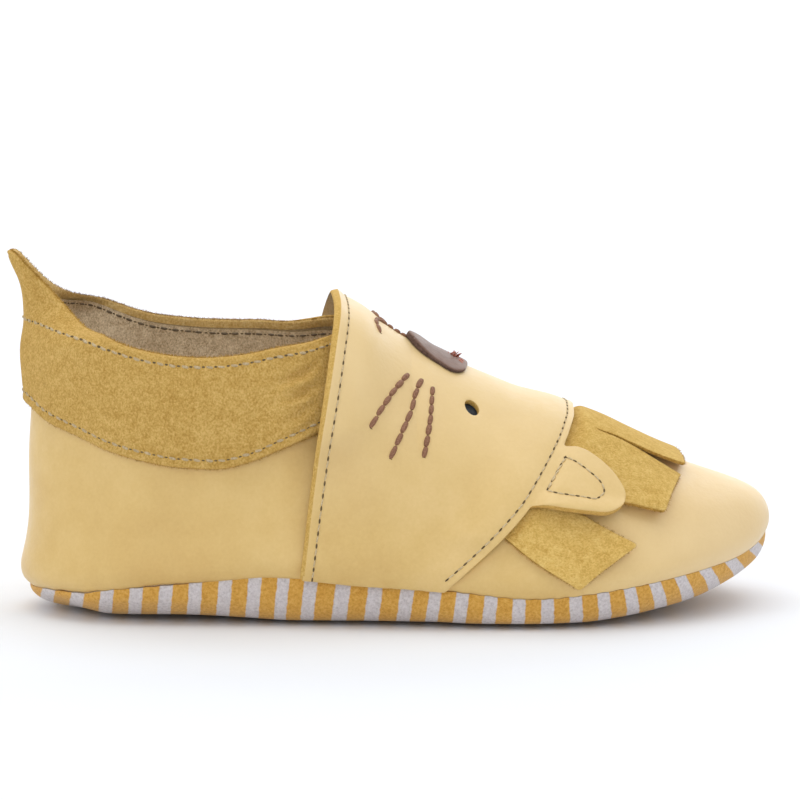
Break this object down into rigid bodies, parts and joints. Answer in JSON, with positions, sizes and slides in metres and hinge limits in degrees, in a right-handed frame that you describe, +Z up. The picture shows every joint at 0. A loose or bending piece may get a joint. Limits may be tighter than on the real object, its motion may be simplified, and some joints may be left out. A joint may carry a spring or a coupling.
{
  "type": "soft-sole baby shoe",
  "caption": "Soft-sole slip-on baby shoe for the right foot, with a gathered collar, pull peak at the heel, animal-face panel over the instep and a fringe of tabs on the toe.",
  "frame": {"origin": "on the floor under the middle of the shoe's box", "axes": "+X from heel to toe, +Y to the inner side of the foot, +Z up"},
  "size_m": [0.1306, 0.0632, 0.0609],
  "materials": {
    "leather": "smooth pale yellow leather, soft sheen",
    "suede": "mustard suede, napped",
    "sole_suede": "suede printed with mustard and pale grey cross stripes",
    "inner_suede": "grey-brown suede lining",
    "nose_leather": "smooth brown leather"
  },
  "bodies": {
    "root": {"sole": "sole_suede", "insole": "inner_suede", "upper": "leather", "collar": "suede", "face_panel": "leather", "mane_top": "suede", "mane_upper_outer": "suede", "mane_lower_outer": "suede", "mane_upper_inner": "suede", "mane_lower_inner": "suede", "nose": "nose_leather"}
  },
  "joints": []
}
